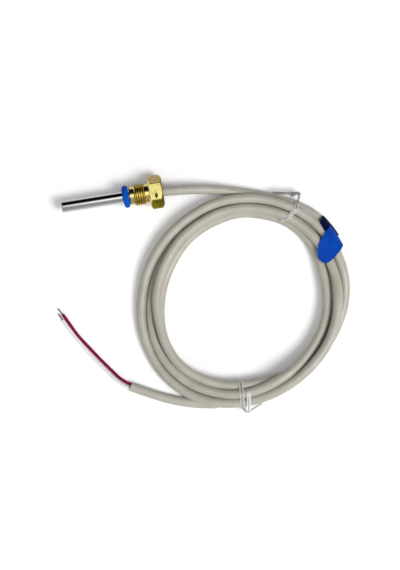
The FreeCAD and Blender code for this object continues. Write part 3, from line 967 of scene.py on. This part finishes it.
steelStem = turnedPiece("steel_stem", stemStations(), polishedSteel, segments=128)
dress(steelStem, probeBody, "stainless_steel", "sheath")
print("stage: stem")
dress(brassScrew(), screwBody, "brass", "threaded_fitting")
print("stage: screw")
dress(sealRing(), probeBody, "blue_rubber", "seal_ring")
print("stage: seal ring")

# Tag, ties, bare ends and the cut jacket

tag = {
    "station": 330,
    "thickness": 0.3,
    "sweep": 44,  # degrees of the coil that the sheet is cut from
    # across the bundle: radius and height, from the rim inwards
    "topProfile": [
        (50.5, 4.7), (49.6, 6.0), (48.4, 7.5), (46.5, 8.45),
        (44.4, 8.85), (42.0, 8.9), (40.0, 8.75), (37.0, 8.4),
    ],
    "backProfile": [
        (51.3, 2.2), (51.3, 3.4), (50.4, 4.9), (49.3, 6.0), (48.2, 7.1), (46.9, 8.0), (45.4, 8.3),
    ],
    # outlines from above: radius and distance along the turn
    "topOutline": [
        (50.9, 7.7), (50.9, -2.6), (48.9, -3.8), (43.7, -5.6), (40.6, -6.2), (38.5, -5.2), (37.7, -2.6),
        (38.7, 0.6), (41.2, 3.4), (45.6, 6.1), (48.3, 6.9),
    ],
    "backOutline": [(52.0, 13.4), (52.0, 2.0), (49.2, 2.3), (46.3, 6.3), (46.6, 11.7), (49.9, 13.4)],
    "cornerRound": 1.0,
    "cutHeight": 20,
}
tieRibbon = {
    "width": 2.0,
    "thickness": 0.2,
    "wire": 0.4,
    "strand": 0.8,  # ribbon and wire rolled up in the knot
    "clear": 0.12,
    "twistRadius": 0.42,
    "twistTurns": 1.5,
}
# each point: radius, side and height at the tie's station
upperTie = {
    "station": 300,
    "crossing": [
        (37.9, 2.4), (39.1, 1.1), (41.2, -0.5), (43.3, -1.3), (46.1, -1.4), (48.7, -0.7), (50.0, -0.4),
    ],
    "knotStart": (49.7, -0.4, 4.8),
    "knotEnd": (52.6, 0.5, 4.8),
    "ends": [
        [(52.7, 1.3, 4.9), (51.3, 2.9, 5.0), (48.9, 7.4, 5.1), (46.9, 11.7, 5.0)],
        [(52.9, 0.9, 4.5), (51.6, 2.2, 5.2), (49.5, 3.7, 6.2)],
    ],
    "endWidths": [(0.9, 0.5, 1.2), (1.0, 0.9, 0.4)],  # across each end's ribbon
    "endFinish": greyRibbon,
}
lowerTie = {
    "station": 90,
    "crossing": [(37.2, -0.7), (40.5, -0.7), (42.5, -0.4), (43.9, -0.2), (46.4, -0.3), (49.0, -0.2)],
    "knotStart": (48.5, -0.2, 4.8),
    "knotEnd": (50.8, 1.4, 4.9),
    "ends": [
        [(50.8, 2.4, 6.0), (49.4, 2.75, 8.4), (46.4, 2.65, 9.9), (43.4, 2.7, 11.1), (41.5, 2.7, 10.7)],
        [(51.2, 2.4, 4.8), (50.3, 3.7, 4.7), (48.5, 6.4, 4.9), (47.2, 8.6, 5.1)],
    ],
    "endWidths": [(0.0, 1.8, 0.0), (1.0, 0.7, 0.7)],
    "endFinish": paleRibbon,
}
bareEnd = {
    "length": 3.2,
    "inside": 0.6,  # the strands start inside the insulation
    "strand": 0.24,
    "ringRadius": 0.22,
    "strands": 6,
    "lay": 3.5,
    "fray": 0.05,
}
cutJacket = {
    "wall": 0.65,
    "depth": 0.7,
    "length": 1.6,
    "proud": 0.02,
    "taper": 0.04,
    "outerEdge": (0.12, 0.1),  # how far it is rounded, along and across
    "innerEdge": (0.1, 0.08),
}


def stationPoint(station, radius, side, height):
    radial = stationDirection(station)
    sideways = Vector((0, 0, 1)).cross(radial)
    centre = Vector((*cable["coilCentre"], 0))
    return (centre + radial * radius + sideways * side + Vector((0, 0, height))) * mm


def drawnLine(name, points):
    # a line of edges, pulled out of one vertex from point to point, in metres
    freshStart()
    bpy.ops.mesh.primitive_plane_add(size=mm, location=points[0])
    piece = bpy.context.active_object
    piece.name = name
    bpy.ops.object.transform_apply(location=True)
    editAll()
    bpy.ops.mesh.merge(type="CENTER")
    for point, following in zip(points, points[1:]):
        bpy.ops.mesh.extrude_vertices_move(TRANSFORM_OT_translate={"value": following - point})
    return piece


def thicken(piece, thickness, smooth):
    if smooth:
        bends = piece.modifiers.new("bends", "SUBSURF")
        bends.levels = bends.render_levels = 2
        bpy.ops.object.modifier_apply(modifier=bends.name)
    wall = piece.modifiers.new("wall", "SOLIDIFY")
    wall.thickness = thickness * mm
    wall.offset = 0
    bpy.ops.object.modifier_apply(modifier=wall.name)


def joinPieces(pieces):
    freshStart()
    for piece in pieces:
        piece.select_set(True)
    bpy.context.view_layer.objects.active = pieces[0]
    bpy.ops.object.join()
    return pieces[0]


def tagSheet(name, profile, finish):
    half = tag["sweep"] / 2
    points = [stationPoint(tag["station"] - half, radius, 0, height) for radius, height in profile]
    piece = drawnLine(name, points)
    editAll()
    bpy.ops.mesh.spin(
        steps=16, angle=math.radians(tag["sweep"]), center=stationPoint(0, 0, 0, 0), axis=(0, 0, 1),
    )
    editAll()
    bpy.ops.mesh.normals_make_consistent(inside=False)
    useMode("OBJECT")
    piece.data.materials.append(finish)
    thicken(piece, tag["thickness"], smooth=True)
    return piece


def outlinePrism(name, outline, finish):
    freshStart()
    bpy.ops.mesh.primitive_circle_add(vertices=len(outline), radius=mm, fill_type="NGON")
    piece = bpy.context.active_object
    piece.name = name
    for index, (radius, side) in enumerate(outline):
        selectParts(piece, lambda vertex: vertex.index == index)
        here = piece.data.vertices[index].co
        bpy.ops.transform.translate(value=stationPoint(tag["station"], radius, side, 0) - here)
    editAll()
    bpy.ops.mesh.bevel(offset=tag["cornerRound"] * mm, segments=5, affect="VERTICES")
    editAll()
    bpy.ops.mesh.extrude_region_move(TRANSFORM_OT_translate={"value": (0, 0, tag["cutHeight"] * mm)})
    closeUp(piece)
    piece.data.materials.append(finish)
    return piece


def tagPiece():
    top = tagSheet("cable_tag", tag["topProfile"], blueVinyl)
    carve(top, outlinePrism("tagTop", tag["topOutline"], cutVinyl), "INTERSECT")
    back = tagSheet("tagBack", tag["backProfile"], shadedTagVinyl)
    carve(back, outlinePrism("tagBackCut", tag["backOutline"], shadedTagVinyl), "INTERSECT")
    joinPieces([top, back])
    bpy.ops.object.shade_smooth_by_angle(angle=math.radians(40))
    return top


def outerLine(middles, radius):
    # the line that a tight band takes round the strands, counter-clockwise from the outermost point
    spots = set()
    steps = 24
    for middle, height in middles:
        for step in range(steps):
            angle = 2 * math.pi * step / steps
            spots.add((middle + radius * math.cos(angle), height + radius * math.sin(angle)))
    spots = sorted(spots)
    band = []
    for ordered in (spots, spots[::-1]):
        side = []
        for spot in ordered:
            while len(side) > 1:
                (x0, y0), (x1, y1) = side[-2:]
                if (x1 - x0) * (spot[1] - y0) - (y1 - y0) * (spot[0] - x0) > 0:
                    break
                side.pop()
            side.append(spot)
        band += side[:-1]
    start = max(range(len(band)), key=lambda index: band[index][0])
    return band[start:] + band[:start]


def interpolate(pairs, value):
    pairs = sorted(pairs)
    if value <= pairs[0][0]:
        return pairs[0][1]
    for (x0, y0), (x1, y1) in zip(pairs, pairs[1:]):
        if value <= x1:
            return y0 + (y1 - y0) * (value - x0) / (x1 - x0)
    return pairs[-1][1]


def tieLines(tie):
    station = tie["station"]
    middles = [
        (radius, height + strandLift(station))
        for turn in cable["turns"] for degrees, radius, height in turn if degrees == station
    ]
    reach = cable["diameter"] / 2 + tieRibbon["clear"] + tieRibbon["thickness"] / 2
    start = Vector(tie["knotStart"])
    loop = [
        Vector((radius, interpolate(tie["crossing"], radius), height))
        for radius, height in outerLine(middles, reach)
    ]
    lines = [[start] + loop + [start]]
    axis = Vector(tie["knotEnd"]) - start
    across = axis.cross(Vector((0, 0, 1))).normalized()
    rise = across.cross(axis).normalized()
    steps = 12
    for count, end in enumerate(tie["ends"]):
        strand = []
        for step in range(steps + 1):
            angle = 2 * math.pi * tieRibbon["twistTurns"] * step / steps + count * math.pi
            swing = across * math.cos(angle) + rise * math.sin(angle)
            strand.append(start + axis * step / steps + swing * tieRibbon["twistRadius"])
        lines.append(strand + [Vector(point) for point in end])
    return [[stationPoint(station, *point) for point in line] for line in lines]


def ribbonSheet(name, line, across, finish, smooth=False):
    piece = drawnLine(name, [point - across / 2 for point in line])
    editAll()
    bpy.ops.mesh.extrude_region_move(TRANSFORM_OT_translate={"value": across})
    useMode("OBJECT")
    thicken(piece, tieRibbon["thickness"], smooth)
    piece.data.materials.append(finish)
    closeUp(piece, smoothAngle=60)
    return piece


def roundLines(name, lines, diameter, finish):
    piece = roundCurve(name, lines, diameter, resolution=4, roundness=2)
    pickOut(piece)
    bpy.ops.object.convert(target="MESH")
    piece.data.materials.append(finish)
    closeUp(piece, smoothAngle=50)
    return piece


def twistTie(name, tie, node):
    station = tie["station"]
    loop, *strands = tieLines(tie)
    origin = stationPoint(station, 0, 0, 0)
    side = stationPoint(station, 0, 1, 0) - origin
    pieces = [ribbonSheet(name + "_ribbon", loop, side * tieRibbon["width"], clearRibbon)]
    for count, (end, width) in enumerate(zip(tie["ends"], tie["endWidths"])):
        line = [stationPoint(station, *point) for point in [tie["knotEnd"]] + end]
        across = stationPoint(station, *width) - origin
        pieces.append(ribbonSheet(name + "_end%d" % count, line, across, tie["endFinish"], smooth=True))
    knot = [strand[:-len(end)] for strand, end in zip(strands, tie["ends"])]
    pieces.append(roundLines(name + "_knot", knot, tieRibbon["strand"], clearRibbon))
    ribbon = joinPieces(pieces)
    metal = roundLines(name + "_wire", [loop] + strands, tieRibbon["wire"], tieWire)
    dress(ribbon, probeBody, "clear_plastic", node)
    dress(metal, probeBody, "tinned_copper")
    return [ribbon, metal]


def strandBundle(name, route, node):
    start, heading = Vector(route[-1]) * mm, routeHeading(route)
    across = heading.cross(Vector((0, 0, 1))).normalized()
    rise = across.cross(heading)
    steps = 8
    length, inside = bareEnd["length"], bareEnd["inside"]
    lines = [[start + heading * (length * step / steps - inside) * mm for step in range(steps + 1)]]
    for count in range(bareEnd["strands"]):
        line = []
        for step in range(steps + 1):
            distance = -inside + (length + inside) * step / steps
            angle = 2 * math.pi * (distance / bareEnd["lay"] + count / bareEnd["strands"])
            swing = across * math.cos(angle) + rise * math.sin(angle)
            reach = bareEnd["ringRadius"] + bareEnd["fray"] * (step / steps) ** 4
            line.append(start + (heading * distance + swing * reach) * mm)
        lines.append(line)
    return dress(roundLines(name, lines, bareEnd["strand"], bareWire), probeBody, "tinned_copper", node)


def cutEnd():
    outer = cable["diameter"] / 2 + cutJacket["proud"]
    inner = outer - cutJacket["wall"]
    start, depth = (-cutJacket["length"], outer - cutJacket["taper"]), cutJacket["depth"]
    (long, wide), (innerLong, innerWide) = cutJacket["outerEdge"], cutJacket["innerEdge"]
    piece = turnedPiece("cut_jacket", [
        start, (depth - long, outer), (depth, outer - wide), (depth, inner + innerWide),
        (depth - innerLong, inner), (-cutJacket["length"], inner), start,
    ], greyPvc, jacketEnd, routeHeading(cable["tailRoute"]), segments=64, ringShaped=True)
    return dress(piece, probeBody, "cable_jacket")


cableTag = dress(tagPiece(), probeBody, "blue_vinyl", "tag_flag")
print("stage: tag")
ties = twistTie("upper_tie", upperTie, "twist_tie_upper")
ties += twistTie("lower_tie", lowerTie, "twist_tie_lower")
print("stage: ties")
redEnd = strandBundle("red_strands", cores["redRoute"], "bare_end_red")
whiteEnd = strandBundle("white_strands", cores["whiteRoute"], "bare_end_white")
jacketRim = cutEnd()
print("stage: bare ends")

innerFinish = {
    "element_lead": tinnedCopper,
    "splice": tinnedCopper,
    "inner_conductor": tinnedCopper,
    "inner_core_red": redInsulation,
    "inner_core_white": whiteInsulation,
}
for family, *look in (
    ("sensing_element", "chipCeramic", (0.80, 0.79, 0.76), (0.70, 0.69, 0.66), (0.35, 0.5), 600.0),
    ("tip_filler", "tipFiller", (0.60, 0.60, 0.58), (0.50, 0.50, 0.48), (0.5, 0.7), 400.0),
    ("core_potting", "corePotting", (0.020, 0.020, 0.022), (0.014, 0.014, 0.015), (0.3, 0.45), 300.0),
    ("entry_seal", "entrySeal", (0.030, 0.030, 0.031), (0.020, 0.020, 0.021), (0.4, 0.55), 300.0),
    ("lead_sleeve", "leadSleeve", (0.75, 0.72, 0.62), (0.66, 0.63, 0.54), (0.35, 0.5), 400.0),
    ("splice_shrink", "shrinkTube", (0.025, 0.025, 0.026), (0.016, 0.016, 0.017), (0.4, 0.55), 300.0),
):
    innerFinish[family] = mottledFinish(*look)
for name, node in nodes.items():
    family = name if name in innerFinish else name.rsplit("_", 1)[0]
    if family in innerFinish:
        node.data.materials.clear()
        node.data.materials.append(innerFinish[family])
print("stage: inner pieces")

bpy.context.scene.view_settings.view_transform = "Standard"
